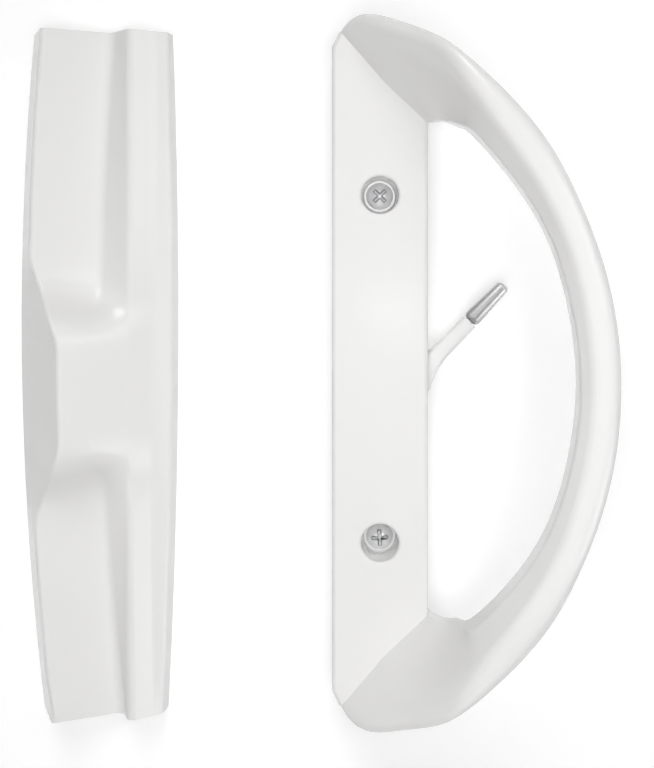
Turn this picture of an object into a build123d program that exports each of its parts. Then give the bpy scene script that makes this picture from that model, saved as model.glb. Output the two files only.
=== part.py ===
from build123d import *
from math import cos, radians, sin, sqrt, tan
import os

# Patio door handle set: an interior D-handle with its latch lever, and an exterior finger pull.
# Millimetres. +Z runs up the door, +X to the right seen from the room, and +Y into the door.
# Both pieces have their backs on the door plane, y = 0. The origin is the middle of the two fixing screws.

# Cutting bodies run past what they cut by OVERRUN, and joined bodies reach into each other by JOIN
OVERRUN = 1.0
JOIN = 0.2
BEYOND = 150.0

# Fixing screws, which clamp both pieces through the door
SCREW_SPACING = 100.0
SCREW_R = 2.5
SCREW_LENGTH = 55.0
SCREW_THREAD_R = 2.24
SCREW_NECK_SPARE = 2.0
SCREW_HOLE_CLEARANCE = 0.2
SCREW_FLANGE_R = 4.95
SCREW_FLANGE_T = 0.8
SCREW_FLANGE_ROUND = 0.5
SCREW_DOME_R = 4.0
SCREW_DOME_H = 2.9
SCREW_POINT = 1.0
RECESS_SPAN = 4.5
RECESS_WIDTH = 0.95
RECESS_DEPTH = 2.0
RECESS_ROOT_WIDTH = 0.7
TOP_SCREW_TURN = 45.0
LOW_SCREW_TURN = 4.0

# Base of the interior handle
BASE_WIDTH = 27.7
BASE_DEPTH = 15.0
BASE_WALL = 4.0
FACE_WALL = 2.5
BASE_EDGE_R = 1.3
COUNTERBORE_CLEARANCE = 0.45
COUNTERBORE_DEPTH = 9.0
COUNTERBORE_LIP_R = 0.8
BOSS_WALL = 2.6
MITRE_INNER_DROP = 4.9
MITRE_OUTER_DROP = 9.2
MITRE_INSET = 2.25
MITRE_OVERLAP = 0.3
SHOULDER_DROP = 4.5

# Bow of the interior handle: two arcs seen from the room, which lean towards the hand
BOW_OUTER_R = 114.4
BOW_INNER_R = 97.0
BOW_REACH = 59.7
BOW_GRIP_WIDTH = 10.0
BOW_ROOT_ANGLE = 43.0
BOW_ARC_STEPS = 3

# Sections of the bow, from one sunk in the base to mid height. Each gives how far five corners stand out from the
# face of the base: inner back, outer back, outer front, ridge and inner front. Then come the share of the width,
# from the inner side, at which the ridge stands, and the radii of the five corners.
ON_DOOR = -BASE_DEPTH
ROOT_SECTIONS = [
    (-9.0, ON_DOOR, -5.0, -3.0, -4.0, 0.5, 0.6, 0.6, 1.5, 8.0, 0.6),
    (-7.0, ON_DOOR, -0.6, 1.2, 0.0, 0.5, 0.8, 0.6, 2.5, 8.0, 0.8),
    (-4.5, ON_DOOR, 12.0, 9.5, 2.5, 0.60, 1.0, 0.8, 7.0, 9.0, 1.5),
    (-1.0, ON_DOOR, 21.0, 18.5, 5.5, 0.58, 1.5, 1.2, 7.5, 9.0, 2.5),
    (3.0, -10.0, 28.0, 26.5, 10.0, 0.52, 2.5, 2.5, 6.2, 7.0, 3.0),
    (7.0, 1.5, 33.0, 32.2, 16.5, 0.46, 3.5, 3.5, 5.0, 6.0, 3.2),
]
ARC_SECTIONS = [
    (11.0, 15.5, 36.6, 36.2, 24.5, 0.38, 3.9, 3.9, 4.0, 4.0, 3.0),
    (22.0, 26.5, 40.8, 40.4, 34.0, 0.32, 3.8, 3.8, 3.8, 3.6, 2.5),
    (25.2, 30.9, 42.3, 41.6, 37.4, 0.30, 3.7, 3.7, 3.7, 3.5, 2.2),
    (25.6, 31.6, 42.8, 42.1, 38.2, 0.28, 3.7, 3.7, 3.7, 3.2, 2.0),
]
# The first section lies this far inside the mitre, and is this much shorter at each end
MITRE_SINK = 3.0
MITRE_SINK_INSET = 0.9
# Where the inner corners stand between the mitre and the inner arc, and how far they bulge towards the hand
ROOT_INNER_SHARE = [0.12, 0.35, 0.6, 0.82]
ROOT_INNER_BULGE = 2.1
# Where the outer corners stand along x, and how far inside the bow's outer arc
ROOT_OUTER_X = [-5.8, 4.0, 12.5, 19.5]
ROOT_OUTER_DROP = [2.8, 0.6, 0.0, 0.0]

# Thumb lever, on a pivot below the middle of the screws
PIVOT_DROP = 14.0
LEVER_ANGLE = 46.0
LEVER_T = 4.0
PILOT_LENGTH = 2.5
LEVER_EDGE_R = 1.2
HUB_GAP = 0.85
HUB_SHOULDER = 7.2
ARM_HALF_WIDTH = 2.4
ARM_LENGTH = 37.8
FLARE_R = 23.0
FLARE_START = 15.8
FLARE_END = 27.0
JOURNAL_R = 4.5
JOURNAL_REACH = 1.0
JOURNAL_CLEARANCE = 0.05
PILOT_R = 4.0
PILOT_CLEARANCE = 0.08
PILOT_END_GAP = 0.3
PILOT_WALL = 2.4
SLOT_GAP = 0.5
SLOT_END_GAP = 0.6
TIP_LENGTH = 14.7
TIP_BASE_R = 2.5
TIP_END_R = 1.9
TIP_NOSE_R = 1.3
TIP_GAP = 0.2
CORE_R = 1.3
CORE_LENGTH = 11.0
CORE_CLEARANCE = 0.05

# Tailpiece, a flat blade that turns the lock in the door
TAIL_WIDTH = 6.0
TAIL_T = 1.6
TAIL_REACH = 42.0
TAIL_GRIP = 1.5
TAIL_CLEARANCE = 0.05
TAIL_CHAMFER = 1.2

# Retainer plate, its screws and its bush
RETAINER_T = 1.2
RETAINER_SPACE = 2.6
RETAINER_LENGTH = 55.0
RETAINER_GAP = 0.25
RETAINER_CORNER_R = 3.0
RETAINER_SCREW_SPACING = 48.0
RETAINER_SCREW_R = 1.45
RETAINER_SCREW_LENGTH = 7.0
RETAINER_HOLE_CLEARANCE = 0.2
RETAINER_THREAD_CLEARANCE = 0.05
RETAINER_HOLE_SPARE = 0.5
RETAINER_HEAD_R = 2.7
RETAINER_HEAD_H = 1.5
RETAINER_HEAD_CHAMFER = 0.4
DRIVER_SLOT = (0.7, 0.7)
RETAINER_BOSS_R = 3.4
BUSH_WALL = 1.05
BUSH_CLEARANCE = 0.05
BUSH_FLANGE_INSET = 1.5
BUSH_FLANGE_T = 0.8
WASHER_INSET = 0.3
WASHER_INNER_R = 5.0
WASHER_T = 0.4
WASHER_GAP = 0.08

# Exterior pull, beside the handle. Its edges bow gently along its length.
PULL_TOP_Z = 98.8
PULL_LOW_Z = -103.2
PULL_LEFT_X = -107.8
PULL_RIGHT_X = -60.5
PULL_BOW_Z = 13.0
PULL_LEFT_BOW_R = 965.0
PULL_RIGHT_BOW_R = 2280.0
PULL_WALL = 2.5
PULL_STEP = 10.0
PULL_GRIP_STEP = 4.0
PULL_RADII = [0, 1.2, 3.0, 2.0, 8.0, 1.5, 0]
WING_RUN = 5.8
WING_HEIGHT = 12.0
GROOVE_X = 24.6
GROOVE_HEIGHT = 4.0
RIDGE_X = 34.8
RIDGE_HEIGHT = 10.6
FLANGE_X = 41.3
FLANGE_HEIGHT = 6.6
FLANGE_EDGE_HEIGHT = 5.2
FLANGE_EDGE_INSET = 0.8
GRIP_Z = -7.0
GRIP_RUN = 17.3
GRIP_HEIGHT = 22.5
GRIP_CREST_HALF = (12.0, 41.0)
GRIP_RAMP_HALF = (17.0, 33.0)
GRIP_EASE = 0.3
GROOVE_CROWN = 0.5
RIDGE_CROWN = 0.7
PULL_POST_X = -72.4
PULL_BOSS_R = 5.0
INSERT_R = 3.5
INSERT_LENGTH = 6.5
INSERT_BORE_R = 2.1
INSERT_CLEARANCE = 0.02
RIB_T = 2.0
WALL_SLOPE = 1.3
ROOF_SLOPE = 1.15
RIB_ZS = (-78.0, -32.0, 18.0, 72.0)

HALF_WIDTH = BASE_WIDTH / 2
SCREW_SEAT = BASE_DEPTH - COUNTERBORE_DEPTH
COUNTERBORE_R = SCREW_FLANGE_R + COUNTERBORE_CLEARANCE
CAVITY_DEPTH = BASE_DEPTH - FACE_WALL
BOW_OUTER_X = BOW_REACH - BOW_OUTER_R
BOW_INNER_X = BOW_REACH - BOW_GRIP_WIDTH - BOW_INNER_R
MITRE_OUTER_X = -HALF_WIDTH + MITRE_INSET
MITRE_INNER_Z = sqrt(BOW_INNER_R**2 - (HALF_WIDTH - BOW_INNER_X) ** 2) - MITRE_INNER_DROP
MITRE_OUTER_Z = sqrt(BOW_OUTER_R**2 - (MITRE_OUTER_X - BOW_OUTER_X) ** 2) - MITRE_OUTER_DROP
SHOULDER_Z = MITRE_OUTER_Z - SHOULDER_DROP
LEVER_FRONT = CAVITY_DEPTH - PILOT_LENGTH
LEVER_BACK = LEVER_FRONT - LEVER_T
LEVER_MID = LEVER_BACK + LEVER_T / 2
HUB_R = HALF_WIDTH - BASE_WALL - HUB_GAP
TAIL_ROOT = LEVER_BACK + TAIL_GRIP
RETAINER_FRONT = LEVER_BACK - RETAINER_SPACE
RETAINER_SINK = RETAINER_FRONT - RETAINER_T
JOURNAL_END = RETAINER_SINK - JOURNAL_REACH
BUSH_R = JOURNAL_R + JOURNAL_CLEARANCE + BUSH_WALL
BUSH_FLANGE_R = HUB_R - BUSH_FLANGE_INSET
WASHER_OUTER_R = BUSH_FLANGE_R - WASHER_INSET
PIVOT = Location((0, 0, -PIVOT_DROP))
SCREW_ZS = (SCREW_SPACING / 2, -SCREW_SPACING / 2)
RETAINER_SCREW_ZS = (-PIVOT_DROP + RETAINER_SCREW_SPACING / 2, -PIVOT_DROP - RETAINER_SCREW_SPACING / 2)


def along_y(x, z, radius, near, far):
    """A round bar along Y from near to far, both measured from the door towards the room."""
    plane = Plane(origin=(x, -near, z), x_dir=(1, 0, 0), z_dir=(0, -1, 0))
    return extrude(plane * Circle(radius), far - near)


def slab(outline, near, far):
    """A plate with an outline of (x, z) points, from near to far as in along_y."""
    face = make_face(Polyline(*[(x, -near, z) for x, z in outline], close=True))
    return extrude(face, far - near, dir=(0, -1, 0))


def block(x0, x1, near, far, z0, z1):
    """A box between two x, two distances from the door and two z."""
    return slab([(x0, z0), (x1, z0), (x1, z1), (x0, z1)], near, far)


def turned(profile, x, z):
    """A solid of revolution about Y through (x, z), whose profile has (radius, distance from the door) points."""
    face = make_face(Polyline(*[(x + r, -d, z) for r, d in profile], close=True))
    return revolve(face, Axis((x, 0, z), (0, 1, 0)), 360)


def smooth_step(value, full, none):
    """1 up to full, 0 from none on, and a smooth fall between them."""
    share = min(1.0, max(0.0, (none - abs(value)) / (none - full)))
    return share * share * (3 - 2 * share)


def eased_ramp(value, full, none):
    """As smooth_step, but straight between two short curves at its ends."""
    share = min(1.0, max(0.0, (none - abs(value)) / (none - full)))
    slope = 1 / (1 - GRIP_EASE)
    if share < GRIP_EASE:
        return slope * share**2 / (2 * GRIP_EASE)
    if share > 1 - GRIP_EASE:
        return 1 - slope * (1 - share) ** 2 / (2 * GRIP_EASE)
    return slope * (share - GRIP_EASE / 2)


def blend(a, b, share):
    return a + (b - a) * share


# Interior handle


def bow_section(inner, outer, section, sign):
    """One section of the bow: five rounded corners between an inner and an outer (x, z) point."""
    heights, share, radii = section[:5], section[5], list(section[6:])
    ridge = (blend(inner[0], outer[0], share), blend(inner[1], outer[1], share))
    places = [inner, outer, outer, ridge, inner]
    corners = [(x, -BASE_DEPTH - height, sign * z) for (x, z), height in zip(places, heights)]
    return make_face(FilletPolyline(*corners, radius=radii, close=True))


def root_outer(x, drop):
    """The outer corner of a section near the mitre, at x and inside the bow's outer arc by drop."""
    return x, sqrt(BOW_OUTER_R**2 - (x - BOW_OUTER_X) ** 2) - drop


def arc_points(angle):
    """The inner and outer points of the bow on a line square to its inner arc."""
    c, s = cos(radians(angle)), sin(radians(angle))
    inner = (BOW_INNER_X + BOW_INNER_R * c, BOW_INNER_R * s)
    dx = inner[0] - BOW_OUTER_X
    half = dx * c + inner[1] * s
    reach = sqrt(half**2 + BOW_OUTER_R**2 - dx**2 - inner[1] ** 2) - half
    return inner, (inner[0] + reach * c, inner[1] + reach * s)


def sunk_ends():
    """The ends of the section inside the base, beside the mitre and shorter than it."""
    across, rise = HALF_WIDTH - MITRE_OUTER_X, MITRE_OUTER_Z - MITRE_INNER_Z
    length = sqrt(across**2 + rise**2)
    x, z = across / length, rise / length
    sink, inset = MITRE_SINK, MITRE_SINK_INSET
    inner = (HALF_WIDTH - z * sink - x * inset, MITRE_INNER_Z - x * sink + z * inset)
    outer = (MITRE_OUTER_X - z * sink + x * inset, MITRE_OUTER_Z - x * sink - z * inset)
    return inner, outer


def root_inner(share):
    """The inner corner of a section near the mitre."""
    end, _ = arc_points(BOW_ROOT_ANGLE)
    bulge = ROOT_INNER_BULGE * 4 * share * (1 - share)
    return blend(HALF_WIDTH, end[0], share), blend(MITRE_INNER_Z, end[1], share) + bulge


def bow_half(sign):
    """The sections of one half of the bow, from inside the base to the one next to mid height."""
    ends = [sunk_ends(), ((HALF_WIDTH, MITRE_INNER_Z), (MITRE_OUTER_X, MITRE_OUTER_Z))]
    for share, x, drop in zip(ROOT_INNER_SHARE, ROOT_OUTER_X, ROOT_OUTER_DROP):
        ends.append((root_inner(share), root_outer(x, drop)))
    for step in range(BOW_ARC_STEPS):
        ends.append(arc_points(BOW_ROOT_ANGLE * (1 - step / BOW_ARC_STEPS)))
    return [bow_section(*pair, section, sign) for pair, section in zip(ends, ROOT_SECTIONS + ARC_SECTIONS)]


def bow():
    """The whole bow, from mitre to mitre."""
    inner, outer = arc_points(0)
    middle = bow_section(inner, outer, ARC_SECTIONS[-1], 1)
    return loft(bow_half(1) + [middle] + bow_half(-1)[::-1])


def base_outline(side_inset, end_inset):
    """The base seen from the room, with its sides and mitred ends moved in."""
    x = HALF_WIDTH - side_inset
    slope = (MITRE_OUTER_Z - MITRE_INNER_Z) / (HALF_WIDTH - MITRE_OUTER_X)
    inner_z = MITRE_INNER_Z + slope * side_inset - end_inset
    if side_inset < MITRE_INSET:
        upper = [(x, inner_z), (MITRE_OUTER_X, MITRE_OUTER_Z - end_inset), (-x, SHOULDER_Z - end_inset)]
    else:
        upper = [(x, inner_z), (-x, inner_z + slope * 2 * x)]
    return upper + [(px, -pz) for px, pz in reversed(upper)]


def base():
    """The solid base block, whose mitred ends reach a little way into the bow."""
    block = slab(base_outline(0, -MITRE_OVERLAP), 0, BASE_DEPTH)
    rims = [e for e in block.edges().group_by(Axis.Y)[0] if abs(e.center().X) > HALF_WIDTH - MITRE_INSET]
    return fillet(rims, BASE_EDGE_R)


def hollow():
    """The space inside the base, less the bosses that stand in it."""
    space = slab(base_outline(BASE_WALL, BASE_WALL), 0, CAVITY_DEPTH)
    for z in SCREW_ZS:
        space -= along_y(0, z, COUNTERBORE_R + BOSS_WALL, 0, CAVITY_DEPTH)
    for z in RETAINER_SCREW_ZS:
        space -= along_y(0, z, RETAINER_BOSS_R, RETAINER_FRONT, CAVITY_DEPTH)
    pilot = along_y(0, -PIVOT_DROP, PILOT_R + PILOT_WALL, LEVER_FRONT + SLOT_GAP, CAVITY_DEPTH)
    return space - pilot


def arm_half_width(s):
    """Half the width of the lever's arm at s from its pivot. It flares towards the hub."""
    if s > FLARE_END:
        return ARM_HALF_WIDTH
    return ARM_HALF_WIDTH + FLARE_R - sqrt(FLARE_R**2 - (FLARE_END - s) ** 2)


def lever_slot():
    """The slot in the right wall of the base that the lever swings in."""
    lean = radians(LEVER_ANGLE)
    half = HALF_WIDTH * tan(lean) + arm_half_width(HALF_WIDTH / cos(lean)) / cos(lean) + SLOT_END_GAP
    near, far = LEVER_BACK - SLOT_GAP, LEVER_FRONT + SLOT_GAP
    return block(0, HALF_WIDTH + OVERRUN, near, far, -PIVOT_DROP - half, -PIVOT_DROP + half)


def interior_handle():
    body = base() + bow()
    body -= block(-BEYOND, BEYOND, -BASE_DEPTH, 0, -BEYOND, BEYOND)
    body -= hollow()
    body -= lever_slot()
    for z in SCREW_ZS:
        body -= along_y(0, z, COUNTERBORE_R, SCREW_SEAT, BASE_DEPTH)
        body -= along_y(0, z, SCREW_R + SCREW_HOLE_CLEARANCE, 0, SCREW_SEAT)
    for z in RETAINER_SCREW_ZS:
        depth = RETAINER_SINK + RETAINER_SCREW_LENGTH + RETAINER_HOLE_SPARE
        body -= along_y(0, z, RETAINER_SCREW_R + RETAINER_THREAD_CLEARANCE, RETAINER_FRONT, depth)
    body -= along_y(0, -PIVOT_DROP, PILOT_R + PILOT_CLEARANCE, LEVER_FRONT, CAVITY_DEPTH)
    return body


def lips(body):
    """Rounds the mouths of the two counterbores."""
    mouths = [
        e
        for e in body.edges().filter_by(GeomType.CIRCLE)
        if abs(e.radius - COUNTERBORE_R) < 0.01 and abs(e.center().Y + BASE_DEPTH) < 0.01
    ]
    return fillet(mouths, COUNTERBORE_LIP_R)


# Screws


def cross_recess(x, z, front, turn):
    """The cross-shaped driver recess of a screw whose head ends at front."""
    bottom = front - RECESS_DEPTH
    depth = RECESS_DEPTH + OVERRUN
    plane = Plane(origin=(0, -bottom, 0), x_dir=(1, 0, 0), z_dir=(0, -1, 0))
    arm = extrude(plane * Rectangle(RECESS_WIDTH, RECESS_WIDTH), depth)
    low = plane * Rectangle(RECESS_ROOT_WIDTH, RECESS_ROOT_WIDTH)
    high = plane.offset(depth) * Rectangle(RECESS_SPAN + RECESS_SPAN * OVERRUN / RECESS_DEPTH, RECESS_WIDTH)
    arm = arm + loft([low, high])
    cross = arm + arm.rotate(Axis.Y, 90)
    return Pos(x, 0, z) * cross.rotate(Axis.Y, turn)


def mounting_screw(z, turn):
    seat = SCREW_SEAT
    rim = seat + SCREW_FLANGE_T
    front = rim + SCREW_DOME_H
    head = along_y(0, z, SCREW_FLANGE_R, seat, rim)
    head = fillet(head.edges().group_by(Axis.Y)[0], SCREW_FLANGE_ROUND)
    ball_r = (SCREW_DOME_R**2 + SCREW_DOME_H**2) / (2 * SCREW_DOME_H)
    dome = Pos(0, -(front - ball_r), z) * Sphere(ball_r)
    dome = dome & along_y(0, z, SCREW_DOME_R, rim - JOIN, front + OVERRUN)
    end = seat - SCREW_LENGTH
    neck = [(0, seat + JOIN), (SCREW_R, seat + JOIN), (SCREW_R, -SCREW_NECK_SPARE)]
    thread = [
        (SCREW_THREAD_R, -SCREW_NECK_SPARE - (SCREW_R - SCREW_THREAD_R)),
        (SCREW_THREAD_R, end + SCREW_POINT),
        (SCREW_THREAD_R - SCREW_POINT, end),
    ]
    shank = turned(neck + thread + [(0, end)], 0, z)
    return head + dome + shank - cross_recess(0, z, front, turn)


def mounting_screws():
    return [mounting_screw(SCREW_ZS[0], TOP_SCREW_TURN), mounting_screw(SCREW_ZS[1], LOW_SCREW_TURN)]


def retainer_screw(z):
    width, depth = DRIVER_SLOT
    top = RETAINER_SINK - RETAINER_HEAD_H
    head = along_y(0, z, RETAINER_HEAD_R, top, RETAINER_SINK)
    head = chamfer(head.edges().group_by(Axis.Y)[-1], RETAINER_HEAD_CHAMFER)
    shank = along_y(0, z, RETAINER_SCREW_R, RETAINER_SINK - JOIN, RETAINER_SINK + RETAINER_SCREW_LENGTH)
    slot = block(-RETAINER_HEAD_R, RETAINER_HEAD_R, top - OVERRUN, top + depth, z - width / 2, z + width / 2)
    return head + shank - slot


def retainer_screws():
    return [retainer_screw(z) for z in RETAINER_SCREW_ZS]


# Lever and what holds it. Lever pieces are made with the arm along +X and the pivot at the origin.


def at_rest(shape):
    """Turns a lever piece from along +X to its place in the handle."""
    return PIVOT * shape.rotate(Axis.Y, -LEVER_ANGLE)


def arm_outline():
    """The flat outline of the arm and its flare, one side then the other."""
    middle = (FLARE_START + FLARE_END) / 2
    y = -LEVER_BACK
    edges = []
    for side in (1, -1):
        start, mid, end = [(s, y, side * arm_half_width(s)) for s in (FLARE_START, middle, FLARE_END)]
        shoulder = (0, y, side * HUB_SHOULDER)
        tip = (ARM_LENGTH, y, side * ARM_HALF_WIDTH)
        edges += [Line(shoulder, start), ThreePointArc(start, mid, end), Line(end, tip)]
    for s, half in ((0, HUB_SHOULDER), (ARM_LENGTH, ARM_HALF_WIDTH)):
        edges.append(Line((s, y, half), (s, y, -half)))
    return make_face(edges)


def thumb_lever():
    arm = extrude(arm_outline(), LEVER_T, dir=(0, -1, 0))
    straight = arm.edges().filter_by(Axis.X).group_by(SortBy.LENGTH)[-1]
    arm = fillet(straight, LEVER_EDGE_R)
    hub = along_y(0, 0, HUB_R, LEVER_BACK, LEVER_FRONT)
    pilot = along_y(0, 0, PILOT_R, LEVER_BACK, CAVITY_DEPTH - PILOT_END_GAP)
    journal = along_y(0, 0, JOURNAL_R, JOURNAL_END, LEVER_BACK)
    core_plane = Plane(origin=(ARM_LENGTH - OVERRUN, -LEVER_MID, 0), z_dir=(1, 0, 0))
    core = extrude(core_plane * Circle(CORE_R), CORE_LENGTH + OVERRUN)
    body = arm + hub + pilot + journal + core
    w, t = TAIL_WIDTH / 2 + TAIL_CLEARANCE, TAIL_T / 2 + TAIL_CLEARANCE
    body -= block(-w, w, 0, TAIL_ROOT + TAIL_CLEARANCE, -t, t)
    return at_rest(body)


def lever_tip():
    """The metal sleeve on the end of the arm, a round taper with a rounded nose."""
    start = ARM_LENGTH + TIP_GAP
    plane = Plane(origin=(start, -LEVER_MID, 0), x_dir=(0, 1, 0), z_dir=(1, 0, 0))
    sleeve = loft([plane * Circle(TIP_BASE_R), plane.offset(TIP_LENGTH) * Circle(TIP_END_R)])
    ends = sleeve.edges().filter_by(GeomType.CIRCLE).sort_by(Axis.X)
    sleeve = fillet(ends[-1], TIP_NOSE_R)
    bore = extrude(plane * Circle(CORE_R + CORE_CLEARANCE), CORE_LENGTH + TIP_GAP)
    return at_rest(sleeve - bore)


def tailpiece():
    w, t = TAIL_WIDTH / 2, TAIL_T / 2
    blade = block(-w, w, -TAIL_REACH, TAIL_ROOT, -t, t)
    tip_edges = blade.edges().filter_by(Axis.Z).group_by(Axis.Y)[-1]
    return at_rest(chamfer(tip_edges, TAIL_CHAMFER))


def retainer_plate():
    half_x = HALF_WIDTH - BASE_WALL - RETAINER_GAP
    half_z = RETAINER_LENGTH / 2
    z = -PIVOT_DROP
    plate = block(-half_x, half_x, RETAINER_SINK, RETAINER_FRONT, z - half_z, z + half_z)
    plate = fillet(plate.edges().filter_by(Axis.Y), RETAINER_CORNER_R)
    plate -= along_y(0, z, BUSH_R + BUSH_CLEARANCE, 0, BASE_DEPTH)
    for screw_z in RETAINER_SCREW_ZS:
        plate -= along_y(0, screw_z, RETAINER_SCREW_R + RETAINER_HOLE_CLEARANCE, 0, BASE_DEPTH)
    return plate


def lever_bush():
    inner = JOURNAL_R + JOURNAL_CLEARANCE
    far = RETAINER_FRONT + BUSH_FLANGE_T
    profile = [
        (inner, RETAINER_SINK),
        (BUSH_R, RETAINER_SINK),
        (BUSH_R, RETAINER_FRONT),
        (BUSH_FLANGE_R, RETAINER_FRONT),
        (BUSH_FLANGE_R, far),
        (inner, far),
    ]
    return turned(profile, 0, -PIVOT_DROP)


def spring_washer():
    """A washer bowed about a line along Z, between the bush and the hub."""
    low = RETAINER_FRONT + BUSH_FLANGE_T + WASHER_GAP
    high = LEVER_BACK - WASHER_GAP - WASHER_T
    r = WASHER_OUTER_R + OVERRUN
    z = -PIVOT_DROP - r
    near = ThreePointArc((-r, -low, z), (0, -high, z), (r, -low, z))
    far = ThreePointArc((-r, -low - WASHER_T, z), (0, -high - WASHER_T, z), (r, -low - WASHER_T, z))
    ends = [Line((side * r, -low, z), (side * r, -low - WASHER_T, z)) for side in (1, -1)]
    band = extrude(make_face([near, far] + ends), 2 * r, dir=(0, 0, 1))
    ring = along_y(0, -PIVOT_DROP, WASHER_OUTER_R, 0, BASE_DEPTH)
    ring -= along_y(0, -PIVOT_DROP, WASHER_INNER_R, -OVERRUN, BASE_DEPTH + OVERRUN)
    return band & ring


# Exterior pull


def edge_x(x, radius, z, side):
    """The x of a side edge that bows outwards on a large radius."""
    return x - side * (z - PULL_BOW_Z) ** 2 / (2 * radius)


def pull_profile(z):
    """The corners of the pull's section at z: (x, distance from the door), from left to right."""
    crest = smooth_step(z - GRIP_Z, *GRIP_CREST_HALF)
    ramp = eased_ramp(z - GRIP_Z, *GRIP_RAMP_HALF)
    left = edge_x(PULL_LEFT_X, PULL_LEFT_BOW_R, z, -1)
    right = edge_x(PULL_RIGHT_X, PULL_RIGHT_BOW_R, z, 1)
    top = (left + blend(WING_RUN, GRIP_RUN, crest), blend(WING_HEIGHT, GRIP_HEIGHT, ramp))
    flange = (PULL_LEFT_X + FLANGE_X, FLANGE_HEIGHT)
    groove_x = left + GROOVE_X
    ridge_x = PULL_LEFT_X + RIDGE_X

    def on_slope(x):
        return blend(top[1], flange[1], (x - top[0]) / (flange[0] - top[0]))

    groove = (groove_x, blend(GROOVE_HEIGHT, on_slope(groove_x) + GROOVE_CROWN, ramp))
    ridge = (ridge_x, blend(RIDGE_HEIGHT, on_slope(ridge_x) + RIDGE_CROWN, ramp))
    rim = (right - FLANGE_EDGE_INSET, FLANGE_EDGE_HEIGHT)
    return [(left, 0), top, groove, ridge, flange, rim, (right, 0)]


def section_face(points, radii, z):
    corners = [(x, -h, z) for x, h in points]
    return make_face(FilletPolyline(*corners, radius=radii, close=True))


def pull_stations(low, high):
    """Heights of the sections, closer together over the grip."""
    half = GRIP_CREST_HALF[1] + PULL_GRIP_STEP
    stations = []
    for start, end, step in (
        (low, GRIP_Z - half, PULL_STEP),
        (GRIP_Z - half, GRIP_Z + half, PULL_GRIP_STEP),
        (GRIP_Z + half, high, PULL_STEP),
    ):
        count = round((end - start) / step)
        stations += [blend(start, end, i / count) for i in range(count)]
    return stations + [high]


def pull_skin():
    return loft([section_face(pull_profile(z), PULL_RADII, z) for z in pull_stations(PULL_LOW_Z, PULL_TOP_Z)])


def wing_space(z):
    """The section of the hollow under the wing and the grip."""
    left, top, groove = pull_profile(z)[:3]
    w = PULL_WALL
    right_x = groove[0] - RIB_T / 2
    share = (right_x - top[0]) / (groove[0] - top[0])
    right_h = blend(top[1], groove[1], share) - w * ROOF_SLOPE
    peak = (top[0] + w / 2, top[1] - w * WALL_SLOPE)
    return [(left[0] + w * WALL_SLOPE, 0), peak, (right_x, right_h), (right_x, 0)]


def ridge_space(z):
    """The section of the hollow under the ridge and the flange."""
    groove, ridge, flange, rim = pull_profile(z)[2:6]
    w = PULL_WALL
    left_x = groove[0] + RIB_T / 2
    share = (left_x - groove[0]) / (ridge[0] - groove[0])
    left_h = blend(groove[1], ridge[1], share) - w * ROOF_SLOPE
    points = [(left_x, 0), (left_x, left_h), (ridge[0], ridge[1] - w * WALL_SLOPE)]
    return points + [(flange[0], flange[1] - w), (rim[0] - w, rim[1] - w), (rim[0] - w, 0)]


def pull_hollow(space):
    """The hollow with a given section, split by cross ribs."""
    zs = pull_stations(PULL_LOW_Z + PULL_WALL, PULL_TOP_Z - PULL_WALL)
    body = loft([section_face(space(z), [0] * len(space(z)), z) for z in zs])
    for z in RIB_ZS:
        body -= block(PULL_LEFT_X, PULL_RIGHT_X, -OVERRUN, GRIP_HEIGHT, z - RIB_T / 2, z + RIB_T / 2)
    return body


def exterior_pull():
    skin = pull_skin()
    bosses = [along_y(PULL_POST_X, z, PULL_BOSS_R, 0, RIDGE_HEIGHT) for z in SCREW_ZS]
    inner = pull_hollow(ridge_space)
    for boss in bosses:
        inner -= boss
    body = skin - pull_hollow(wing_space) - inner
    for z in SCREW_ZS:
        body -= along_y(PULL_POST_X, z, INSERT_R + INSERT_CLEARANCE, 0, INSERT_LENGTH)
    return body


def threaded_insert(z):
    body = along_y(PULL_POST_X, z, INSERT_R, 0, INSERT_LENGTH)
    return body - along_y(PULL_POST_X, z, INSERT_BORE_R, 0, INSERT_LENGTH)


def threaded_inserts():
    return [threaded_insert(z) for z in SCREW_ZS]


def write(name, shape):
    """Writes one node, a solid or a list of like solids."""
    solids = shape if isinstance(shape, list) else [shape]
    export_step(Compound([s for part in solids for s in part.solids()]), f"parts/{name}.step")


def main():
    os.makedirs("parts", exist_ok=True)
    write("interior_handle", lips(interior_handle()))
    write("mounting_screws", mounting_screws())
    write("thumb_lever", thumb_lever())
    write("lever_tip", lever_tip())
    write("tailpiece", tailpiece())
    write("retainer_plate", retainer_plate())
    write("retainer_screws", retainer_screws())
    write("lever_bush", lever_bush())
    write("spring_washer", spring_washer())
    write("exterior_pull", exterior_pull())
    write("threaded_inserts", threaded_inserts())


main()
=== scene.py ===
# %% [markdown]
# # A patio door handle set
#
# The set has two white enamelled castings: a finger pull for the outside of a sliding door, and a
# D-shaped handle with a latch lever for the inside. The measured solids come from the frame, in metres,
# with +Z up the door and +Y into it. This notebook gives them their finishes, adds the details that are
# too fine for the solids, and then sets up a plain white studio round them.

import math

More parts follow.
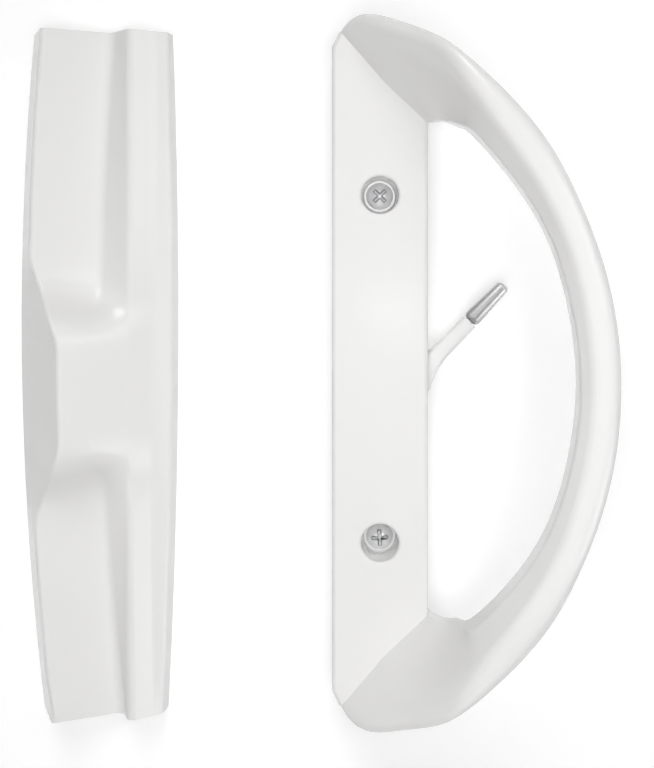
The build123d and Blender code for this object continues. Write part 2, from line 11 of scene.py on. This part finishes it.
import bmesh
import bpy
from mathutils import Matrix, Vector


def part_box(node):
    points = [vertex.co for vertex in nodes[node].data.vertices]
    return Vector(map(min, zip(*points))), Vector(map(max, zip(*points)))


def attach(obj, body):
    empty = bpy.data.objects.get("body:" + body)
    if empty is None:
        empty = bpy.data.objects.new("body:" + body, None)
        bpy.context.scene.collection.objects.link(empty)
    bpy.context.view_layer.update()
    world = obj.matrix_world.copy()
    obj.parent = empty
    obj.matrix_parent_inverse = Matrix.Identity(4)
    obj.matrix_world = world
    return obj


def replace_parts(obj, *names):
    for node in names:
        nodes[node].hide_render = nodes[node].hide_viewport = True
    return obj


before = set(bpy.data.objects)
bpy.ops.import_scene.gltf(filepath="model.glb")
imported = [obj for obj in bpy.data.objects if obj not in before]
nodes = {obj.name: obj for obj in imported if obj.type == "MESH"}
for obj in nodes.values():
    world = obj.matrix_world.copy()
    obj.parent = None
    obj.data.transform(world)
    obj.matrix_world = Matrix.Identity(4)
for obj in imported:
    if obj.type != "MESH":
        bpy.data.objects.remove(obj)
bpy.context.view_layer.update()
MM = 0.001
print("solids:", ", ".join(sorted(nodes)))

# %% [markdown]
# ## The camera
#
# The photograph was taken from about 30 cm, so near parts look larger than far ones, and the front of
# the bow covers more of the door than its root does. The camera stands square to the door. It is level
# with a point above the middle of the handle, and the picture is moved on the film to bring the set
# back to its middle. A shift does that without making upright edges lean.

# %% Camera
PHOTO_WIDTH, PHOTO_HEIGHT = 654, 768
EYE = Vector((-4.3, -315.0, 34.2)) * MM
EYE_PIXEL = (365, 250)
FACE_DISTANCE = 300.0 * MM
PIXEL = 0.287 * MM
FILM = 36.0

camera_data = bpy.data.cameras.new("camera")
camera_data.sensor_width = FILM
camera_data.lens = FILM * FACE_DISTANCE / (PHOTO_HEIGHT * PIXEL)
camera_data.shift_x = (PHOTO_WIDTH / 2 - EYE_PIXEL[0]) / PHOTO_HEIGHT
camera_data.shift_y = (EYE_PIXEL[1] - PHOTO_HEIGHT / 2) / PHOTO_HEIGHT
camera_data.clip_start, camera_data.clip_end = 0.01, 20
camera = bpy.data.objects.new("camera", camera_data)
camera.location = EYE
camera.rotation_euler = (math.radians(90), 0, 0)
bpy.context.scene.collection.objects.link(camera)
bpy.context.scene.camera = camera
print(f"lens {camera_data.lens:.1f} mm, shift {camera_data.shift_x:.3f}, {camera_data.shift_y:.3f}")

# %% [markdown]
# ## Writing materials as sums
#
# A shader network is a page of boxes and wires, but most of it is arithmetic. The `Field` class below
# wraps one output of a node, so that `1 - mask * 0.3` adds the Math nodes by itself. `Finish` starts a
# material with its Principled shader, and its `node` method makes every other kind of node: the
# settings go in first, because some of them change which sockets there are.


# %% A material with arithmetic
class Field:
    """One number that varies over a surface, made by the nodes of a material."""

    def __init__(self, finish, socket):
        self.finish = finish
        self.socket = socket

    def maths(self, operation, *values):
        return self.finish.node("ShaderNodeMath", {"operation": operation}, *values)

    def __add__(self, other):
        return self.maths("ADD", self, other)

    def __mul__(self, other):
        return self.maths("MULTIPLY", self, other)

    def __sub__(self, other):
        return self.maths("SUBTRACT", self, other)

    def __rsub__(self, other):
        return self.maths("SUBTRACT", other, self)

    __radd__, __rmul__ = __add__, __mul__

    def __abs__(self):
        return self.maths("ABSOLUTE", self)

    def least(self, other):
        return self.maths("MINIMUM", self, other)

    def most(self, other):
        return self.maths("MAXIMUM", self, other)

    def step(self, low, high):
        """0 below low, 1 above high, and smooth between."""
        return self.finish.node(
            "ShaderNodeMapRange", {"interpolation_type": "SMOOTHSTEP"}, self, low, high, 0.0, 1.0
        )


class Finish:
    """A material with one Principled shader, whose sockets are set by name."""

    def __init__(self, name, **numbers):
        self.material = bpy.data.materials.new(name)
        self.material.use_nodes = True
        self.tree = self.material.node_tree
        self.shader = self.tree.nodes["Principled BSDF"]
        self.place = Field(self, self.tree.nodes.new("ShaderNodeTexCoord").outputs["Object"])
        for name, value in numbers.items():
            self.set(name, value)

    def set(self, name, value):
        """Sets or links a socket of the shader: base_color means Base Color."""
        self.plug(self.shader.inputs[name.replace("_", " ").title()], value)

    def plug(self, socket, value):
        """Links a field to a socket, or gives it a number or a colour of three."""
        if isinstance(value, Field):
            self.tree.links.new(value.socket, socket)
        elif isinstance(value, tuple) and len(value) == 3 and len(socket.default_value) == 4:
            socket.default_value = (*value, 1.0)
        else:
            socket.default_value = value

    def node(self, kind, settings, *values, output=0, **named):
        """Any other node, with its settings first, and then its sockets in order or by name."""
        made = self.tree.nodes.new(kind)
        for name, value in settings.items():
            setattr(made, name, value)
        for socket, value in zip(made.inputs, values):
            self.plug(socket, value)
        for name, value in named.items():
            self.plug(made.inputs[name.replace("_", " ").title()], value)
        return Field(self, made.outputs[output])

    def noise(self, per_metre, detail=2.0):
        """A cloudy pattern between 0 and 1, with so many features in a metre."""
        return self.node("ShaderNodeTexNoise", {}, vector=self.place, scale=per_metre, detail=detail)

    def mix_color(self, share, first, second):
        """A colour between two others."""
        mixed = self.node("ShaderNodeMix", {"data_type": "RGBA"}, output=2)
        made = mixed.socket.node
        for index, value in ((0, share), (6, first), (7, second)):
            self.plug(made.inputs[index], value)
        return mixed

    def axes(self):
        """The three Object coordinates, in metres."""
        split = self.node("ShaderNodeSeparateXYZ", {}, self.place).socket.node
        return [Field(self, socket) for socket in split.outputs]

    def relief(self, height, depth):
        """Raises the surface by height, which runs from 0 to 1, times depth in metres."""
        bump = self.node("ShaderNodeBump", {}, height=height, distance=depth, strength=1.0)
        self.set("normal", bump)


# %% [markdown]
# ## White enamel
#
# Both castings are sprayed and baked. The white is a little warm, the coat is glossy, and it dries with
# a very shallow waviness that painters call orange peel. The waviness is only visible where it bends a
# reflection, so it is a bump of a few thousandths of a millimetre and not a colour.

# %% White enamel
ORANGE_PEEL = 0.008 * MM

enamel = Finish("white_enamel", base_color=(0.86, 0.855, 0.85))
enamel.set("roughness", 0.15 + enamel.noise(60) * 0.05)
enamel.relief(enamel.noise(420, detail=1.0), ORANGE_PEEL)
print("orange peel", ORANGE_PEEL / MM, "mm deep")

# %% [markdown]
# ## Bright steel screws
#
# The mounting screws are nickel plated. Each has a cross recess, and its outline carries a dark line of
# painted shade where the walls of the recess hold little light. The recess itself is in the solids. The
# painted shade is a line along its outline, and a signed distance draws it: the distance to a cross is
# the smaller of the distances to its two bars, and the line lies where that distance is near zero. The
# screws stand 50 mm above and below the middle, and each was left turned to its own angle. The painted
# shade depends on x and z, so without a second mask it would run down the shank as stripes: it is kept
# to the head by its depth along y.
# A fully metallic head shows only what it mirrors, and came out darker than the photograph's. Half
# metallic, it also takes the lamps' light as a pale surface does, and keeps its sheen.

# %% The cross on a screw head
SCREW_Z = 50 * MM
BAR_HALF_WIDTH, BAR_HALF_SPAN = 0.475 * MM, 2.25 * MM
# Half width and fade of the line of painted shade along each recess outline.
SHADE_HALF, SHADE_FADE = 0.08 * MM, 0.22 * MM
HEAD_RIM, HEAD_FLANGE = -7.2 * MM, -6.8 * MM
TOP_TURN, LOW_TURN = 45, 4


def to_bar(along, across):
    """Distance to the outline of one bar of the cross, less than 0 inside it."""
    return (abs(along) - BAR_HALF_SPAN).most(abs(across) - BAR_HALF_WIDTH)


def recess_shade(finish, z_centre, turn):
    """Painted shade: 1 on the outline of the recess of the screw at z_centre, and 0 away from it and on
    the shank.
    """
    x, y, z = finish.axes()
    c, s = math.cos(math.radians(turn)), math.sin(math.radians(turn))
    u = x * c + (z - z_centre) * s
    v = (z - z_centre) * c - x * s
    edge = to_bar(u, v).least(to_bar(v, u))
    on_head = 1 - y.step(HEAD_RIM, HEAD_FLANGE)
    return on_head * (1 - abs(edge).step(SHADE_HALF, SHADE_FADE))


# %% Bright plating
plated = Finish("bright_plating", metallic=0.5)
# Painted shade darkens the outline of each cross recess, and the plating is rougher along it.
painted_shade = recess_shade(plated, SCREW_Z, TOP_TURN).most(recess_shade(plated, -SCREW_Z, LOW_TURN))
bright = plated.mix_color(plated.noise(1500), (0.88, 0.885, 0.89), (0.96, 0.965, 0.97))
plated.set("base_color", plated.mix_color(painted_shade * 0.9, bright, (0.1, 0.1, 0.11)))
plated.set("roughness", 0.2 + plated.noise(900) * 0.06 + painted_shade * 0.3)
print("cross recesses turned", TOP_TURN, "and", LOW_TURN, "degrees")

# %% [markdown]
# ## Satin metal and the hidden metals
#
# The sleeve on the lever is a duller grey. What sits behind the door face is zinc plated sheet, spring
# steel, nylon and brass. Zinc shows the cloudy crystals that it grows in the bath, so its colour and
# its roughness vary together.

# %% Sleeve, zinc, spring steel, nylon and brass
satin = Finish("satin_sleeve", metallic=1.0)
satin_grey = satin.mix_color(satin.noise(900), (0.46, 0.46, 0.465), (0.52, 0.52, 0.525))
satin.set("base_color", satin_grey)
satin.set("roughness", 0.28 + satin.noise(700) * 0.1)

zinc = Finish("zinc_plate", metallic=1.0)
crystals = zinc.noise(260, detail=4.0).step(0.35, 0.65)
zinc.set("base_color", zinc.mix_color(crystals, (0.55, 0.57, 0.6), (0.68, 0.7, 0.72)))
zinc.set("roughness", 0.34 + crystals * 0.14)

spring_steel = Finish("spring_steel", metallic=1.0)
tempered = spring_steel.mix_color(spring_steel.noise(300), (0.3, 0.31, 0.34), (0.42, 0.42, 0.43))
spring_steel.set("base_color", tempered)
spring_steel.set("roughness", 0.26 + spring_steel.noise(500) * 0.1)

MOULD_GRAIN = 0.01 * MM
nylon = Finish("nylon", base_color=(0.82, 0.8, 0.74))
nylon.set("roughness", 0.42 + nylon.noise(400) * 0.1)
nylon.relief(nylon.noise(2500), MOULD_GRAIN)

brass = Finish("turned_brass", metallic=1.0)
brass.set("base_color", brass.mix_color(brass.noise(500), (0.7, 0.52, 0.25), (0.78, 0.6, 0.31)))
brass.set("roughness", 0.26 + brass.noise(600) * 0.1)

# %% Which solid has which finish
FINISHES = {
    "interior_handle": enamel,
    "exterior_pull": enamel,
    "thumb_lever": enamel,
    "mounting_screws": plated,
    "retainer_screws": zinc,
    "tailpiece": zinc,
    "retainer_plate": zinc,
    "lever_bush": nylon,
    "spring_washer": spring_steel,
    "threaded_inserts": brass,
}
for name, finish in FINISHES.items():
    nodes[name].data.materials.clear()
    nodes[name].data.materials.append(finish.material)
print("finishes on", len(FINISHES), "nodes")

# %% [markdown]
# ## Threads
#
# The solids carry plain bars where the screws have threads, because a thread is a fine form that
# repeats. Geometry Nodes wind it: a spiral gets a small three-sided section, one copy goes on each
# screw axis, and the copies become one plain mesh. The same tree, with the radius of the bore, makes
# the thread inside the brass inserts of the outside pull.


# %% A tree that winds threads
def open_tree(name, inputs):
    """A Geometry Nodes tree with named inputs, and the sockets of its input and output."""
    tree = bpy.data.node_groups.new(name, "GeometryNodeTree")
    for title, kind in inputs.items():
        tree.interface.new_socket(title, in_out="INPUT", socket_type=kind)
    tree.interface.new_socket("Geometry", in_out="OUTPUT", socket_type="NodeSocketGeometry")
    return tree, tree.nodes.new("NodeGroupInput").outputs, tree.nodes.new("NodeGroupOutput").inputs


def add(tree, kind, links, **settings):
    """A node with its settings, and with its sockets linked or given values by name."""
    made = tree.nodes.new(kind)
    for name, value in settings.items():
        setattr(made, name, value)
    for title, value in links.items():
        if isinstance(value, bpy.types.NodeSocket):
            tree.links.new(value, made.inputs[title])
        else:
            made.inputs[title].default_value = value
    return made.outputs[0]


def grow(name, tree, values):
    """Runs a tree on an empty mesh, with its inputs by name, and keeps the result as a plain mesh."""
    seed = bpy.data.objects.new(name, bpy.data.meshes.new(name + "_seed"))
    bpy.context.scene.collection.objects.link(seed)
    modifier = seed.modifiers.new("grow", "NODES")
    modifier.node_group = tree
    for item in tree.interface.items_tree:
        if item.in_out == "INPUT":
            modifier[item.identifier] = values[item.name]
    bpy.context.view_layer.update()
    mesh = bpy.data.meshes.new_from_object(seed.evaluated_get(bpy.context.evaluated_depsgraph_get()))
    seed.modifiers.clear()
    seed.data = mesh
    print(name, len(mesh.polygons), "faces")
    return seed


# %% The tree for a pair of threads
SPIRAL_STEPS, SECTION_SIDES = 24, 3


def thread_tree():
    """Winds a ridge of a small section round the y axis, and puts a copy of it at two places."""
    tree, given, out = open_tree(
        "threads",
        {
            "Radius": "NodeSocketFloat",
            "Section": "NodeSocketFloat",
            "Length": "NodeSocketFloat",
            "Turns": "NodeSocketFloat",
            "Start": "NodeSocketVector",
            "Spacing": "NodeSocketVector",
            "Finish": "NodeSocketMaterial",
        },
    )
    spiral = add(
        tree,
        "GeometryNodeCurveSpiral",
        {
            "Resolution": SPIRAL_STEPS,
            "Rotations": given["Turns"],
            "Start Radius": given["Radius"],
            "End Radius": given["Radius"],
            "Height": given["Length"],
        },
    )
    section = add(
        tree,
        "GeometryNodeCurvePrimitiveCircle",
        {"Resolution": SECTION_SIDES, "Radius": given["Section"]},
        mode="RADIUS",
    )
    ridge = add(
        tree,
        "GeometryNodeCurveToMesh",
        {"Curve": spiral, "Profile Curve": section, "Fill Caps": True},
    )
    to_y = (math.radians(-90), 0, 0)
    along_y = add(tree, "GeometryNodeTransform", {"Geometry": ridge, "Rotation": to_y})
    axes = add(
        tree,
        "GeometryNodeMeshLine",
        {"Count": 2, "Start Location": given["Start"], "Offset": given["Spacing"]},
    )
    copies = add(tree, "GeometryNodeInstanceOnPoints", {"Points": axes, "Instance": along_y})
    real = add(tree, "GeometryNodeRealizeInstances", {"Geometry": copies})
    finished = add(tree, "GeometryNodeSetMaterial", {"Geometry": real, "Material": given["Finish"]})
    tree.links.new(finished, out["Geometry"])
    return tree


# %% [markdown]
# The crests stay inside the radius of the screw's neck, and the lengths come from the solids' boxes, so
# the threads follow the frame.

# %% Wind the threads
PITCH = 0.8 * MM
SCREW_CORE = 2.24 * MM
NECK_END = 2.9 * MM
PLAIN_END = 1.6 * MM
INSERT_BORE = 2.1 * MM
CREST = 0.24 * MM

threads = thread_tree()
_, screw_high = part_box("mounting_screws")
run = screw_high.y - NECK_END - PLAIN_END
screw_threads = grow(
    "screw_threads",
    threads,
    {
        "Radius": SCREW_CORE,
        "Section": CREST,
        "Length": run,
        "Turns": run / PITCH,
        "Start": (0, NECK_END, -SCREW_Z),
        "Spacing": (0, 0, 2 * SCREW_Z),
        "Finish": plated.material,
    },
)
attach(screw_threads, "handle_set")

insert_low, insert_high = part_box("threaded_inserts")
depth = insert_high.y - insert_low.y - 2 * CREST
insert_threads = grow(
    "insert_threads",
    threads,
    {
        "Radius": INSERT_BORE,
        "Section": CREST,
        "Length": depth,
        "Turns": depth / PITCH,
        "Start": ((insert_low.x + insert_high.x) / 2, insert_low.y + CREST, -SCREW_Z),
        "Spacing": (0, 0, 2 * SCREW_Z),
        "Finish": brass.material,
    },
)
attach(insert_threads, "handle_set")

# %% [markdown]
# ## The sleeve on the lever
#
# The sleeve is a tapered pill of grey metal pressed on the end of the white arm. It is turned, so its
# whole shape is one outline taken round an axis: pairs of a distance along the lever and a radius. Both
# ends are rounded, and arcs make the rounding. Each pair becomes a ring of points, and neighbouring
# rings are joined.

# %% A turned sleeve
PIVOT = Vector((0, -8.0, -14.0)) * MM
LEVER_ANGLE = 46
SLEEVE_START, SLEEVE_END = 38.0 * MM, 52.7 * MM
BASE_RADIUS, END_RADIUS = 2.5 * MM, 1.9 * MM
BASE_ROUND, NOSE_ROUND = 1.6 * MM, 1.3 * MM
BORE_RADIUS, BORE_DEPTH = 0.8 * MM, 11.0 * MM
RING_POINTS, ARC_STEPS = 72, 8


def rounding(s, r, radius, start, end):
    """Points on an arc round (s, r), with its angles in degrees from the direction of the lever."""
    for step in range(ARC_STEPS + 1):
        angle = math.radians(start + (end - start) * step / ARC_STEPS)
        yield s + radius * math.cos(angle), r + radius * math.sin(angle)


def turned(name, outline, origin, along):
    """A closed solid of revolution: the outline starts and ends on the axis."""
    across = along.orthogonal().normalized()
    other = along.cross(across)
    points, faces = [], []
    for s, r in outline[1:-1]:
        for k in range(RING_POINTS):
            turn = math.tau * k / RING_POINTS
            points.append(origin + along * s + (across * math.cos(turn) + other * math.sin(turn)) * r)
    for ring in range(len(outline) - 3):
        for k in range(RING_POINTS):
            a, b = ring * RING_POINTS + k, ring * RING_POINTS + (k + 1) % RING_POINTS
            faces.append((a, b, b + RING_POINTS, a + RING_POINTS))
    for (s, _), ring in ((outline[0], 0), (outline[-1], len(outline) - 3)):
        tip = len(points)
        points.append(origin + along * s)
        for k in range(RING_POINTS):
            a, b = ring * RING_POINTS + k, ring * RING_POINTS + (k + 1) % RING_POINTS
            faces.append((tip, a, b))
    mesh = bpy.data.meshes.new(name)
    mesh.from_pydata(points, [], faces)
    shape = bmesh.new()
    shape.from_mesh(mesh)
    bmesh.ops.recalc_face_normals(shape, faces=shape.faces)
    shape.to_mesh(mesh)
    shape.free()
    mesh.shade_smooth()
    made = bpy.data.objects.new(name, mesh)
    bpy.context.scene.collection.objects.link(made)
    return made


# %% Turn the sleeve
along_lever = Vector((math.cos(math.radians(LEVER_ANGLE)), 0, math.sin(math.radians(LEVER_ANGLE))))
bore_end = SLEEVE_START + BORE_DEPTH
outline = [(bore_end, 0.0), (bore_end, BORE_RADIUS), (SLEEVE_START, BORE_RADIUS)]
outline += rounding(SLEEVE_START + BASE_ROUND, BASE_RADIUS - BASE_ROUND, BASE_ROUND, 180, 90)
outline += rounding(SLEEVE_END - NOSE_ROUND, END_RADIUS - NOSE_ROUND, NOSE_ROUND, 90, 0)
outline.append((SLEEVE_END, 0.0))
sleeve = turned("sleeve", outline, PIVOT, along_lever)
sleeve.data.materials.append(satin.material)
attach(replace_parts(sleeve, "lever_tip"), "lever")
print("sleeve", len(sleeve.data.polygons), "faces")

# %% [markdown]
# ## The studio
#
# The set hangs on a white board at the door plane, as it would on a white door, and the board takes its
# soft shadows. The board is seen only from the front. From behind, the camera looks through it, and the
# rays that ask whether a lamp is hidden pass it from both sides, so that a lamp behind the board lights
# the backs of the castings. No lamp in front of the board has to shine through it, so the front looks
# the same. A white floor lies below.


# %% Board and floor
def sheet(name, corners):
    """A flat rectangle of the studio, wound so that its front faces the set."""
    mesh = bpy.data.meshes.new(name)
    mesh.from_pydata([Vector(c) for c in corners], [], [range(len(corners))])
    made = bpy.data.objects.new(name, mesh)
    bpy.context.scene.collection.objects.link(made)
    return made


def studio_white(name, color, glow, one_sided):
    """Matt white that looks white to the camera and in reflections, and takes shadows."""
    paper = Finish(name, base_color=color, roughness=0.9)
    tree = paper.tree
    path = tree.nodes.new("ShaderNodeLightPath")
    seen = Field(paper, path.outputs["Is Camera Ray"]) + Field(paper, path.outputs["Is Glossy Ray"])
    lamp = paper.node("ShaderNodeEmission", {}, strength=seen * glow)
    total = paper.node("ShaderNodeAddShader", {}, Field(paper, paper.shader.outputs[0]), lamp)
    if one_sided:
        clear = paper.node("ShaderNodeBsdfTransparent", {})
        back = paper.node("ShaderNodeNewGeometry", {}, output="Backfacing")
        open_to = back.most(Field(paper, path.outputs["Is Shadow Ray"]))
        total = paper.node("ShaderNodeMixShader", {}, open_to, total, clear)
    tree.links.new(total.socket, tree.nodes["Material Output"].inputs["Surface"])
    return paper


BOARD_GAP = 0.3 * MM
REACH = 2.0
FLOOR_Z = -0.45
SIDES = ((-REACH, 0), (REACH, 0), (REACH, 1), (-REACH, 1))
board = sheet("board", [(x, BOARD_GAP, REACH if far else FLOOR_Z) for x, far in SIDES])
board_white = studio_white("board_white", (0.9, 0.9, 0.9), 0.24, one_sided=True)
board.data.materials.append(board_white.material)
floor = sheet("floor", [(x, REACH if far else -REACH, FLOOR_Z) for x, far in SIDES])
floor_white = studio_white("floor_white", (0.88, 0.88, 0.88), 0.1, one_sided=False)
floor.data.materials.append(floor_white.material)
print("board and floor reach", REACH, "m each way")

# %% [markdown]
# ## Light
#
# The photograph is lit softly from above and from round the camera, with a white card on the right. The
# powers were found by rendering the set under one lamp at a time: light adds up, so the shares that
# bring the faces nearest to the photograph's greys come from simple sums. The fill lights matt faces
# only, and leaves no square reflection. The low card is the other way round: it lays the bright band
# along the sleeve, and lights no matt face. A small round lamp beside the camera leaves the white blur
# in the middle of the plate, and a sun behind the board lights the backs. The world lights matt faces
# from behind too, and shows the camera and the mirrors a white room.


# %% Lamps
def soft_lamp(name, place, target, size, power, shape="SQUARE"):
    """A flat lamp that faces its target, with its size in metres and its power in watts."""
    data = bpy.data.lights.new(name, "AREA")
    data.shape = shape
    data.size = size
    data.energy = power
    lamp = bpy.data.objects.new(name, data)
    lamp.location = place
    lamp.rotation_euler = (Vector(target) - Vector(place)).to_track_quat("-Z", "Y").to_euler()
    bpy.context.scene.collection.objects.link(lamp)
    return lamp


soft_lamp("key", (-0.2, -1.25, 1.6), (0, 0, 0), 1.1, 15.6)
soft_lamp("fill", (0, -0.42, -0.02), (0, 0, -0.02), 0.3, 0.96).visible_glossy = False
soft_lamp("right_card", (0.22, -0.30, 0.12), (0.03, 0, 0), 0.18, 0.15)
soft_lamp("low_card", (0.55, -0.25, -0.40), (0.02, 0, 0), 0.5, 1.8).visible_diffuse = False
soft_lamp("blur", (0.014, -0.40, -0.006), (0, 0, 0.015), 0.03, 0.012, "DISK")

# %% A sun behind the board
behind = bpy.data.lights.new("behind", "SUN")
behind.energy = 0.8
behind.angle = math.radians(20)
behind_lamp = bpy.data.objects.new("behind", behind)
behind_lamp.rotation_euler = (math.radians(-90), 0, 0)
bpy.context.scene.collection.objects.link(behind_lamp)

# %% World
world = bpy.data.worlds.new("room")
bpy.context.scene.world = world
world.use_nodes = True
room = world.node_tree


def room_maths(operation, first, second):
    """One Math node of the world, with each socket linked or given a number."""
    made = room.nodes.new("ShaderNodeMath")
    made.operation = operation
    for socket, value in zip(made.inputs, (first, second)):
        if isinstance(value, bpy.types.NodeSocket):
            room.links.new(value, socket)
        else:
            socket.default_value = value
    return made.outputs[0]


def light_from(axis, strength):
    """Light that is strongest from one direction and fades to none square to it."""
    slope = room.nodes.new("ShaderNodeVectorMath")
    slope.operation = "DOT_PRODUCT"
    slope.inputs[1].default_value = axis
    room.links.new(room.nodes.new("ShaderNodeTexCoord").outputs["Generated"], slope.inputs[0])
    return room_maths("MULTIPLY", room_maths("MAXIMUM", slope.outputs["Value"], 0.0), strength)


path = room.nodes.new("ShaderNodeLightPath")
mirrored = room_maths("ADD", path.outputs["Is Camera Ray"], path.outputs["Is Glossy Ray"])
matt = light_from((0, 1, 0), 0.7)
level = room.nodes.new("ShaderNodeMix")
room.links.new(mirrored, level.inputs[0])
room.links.new(matt, level.inputs[2])
level.inputs[3].default_value = 1.0
room.links.new(level.outputs[0], room.nodes["Background"].inputs["Strength"])
room.nodes["Background"].inputs["Color"].default_value = (1, 1, 1, 1)
bpy.context.scene.view_settings.view_transform = "Standard"
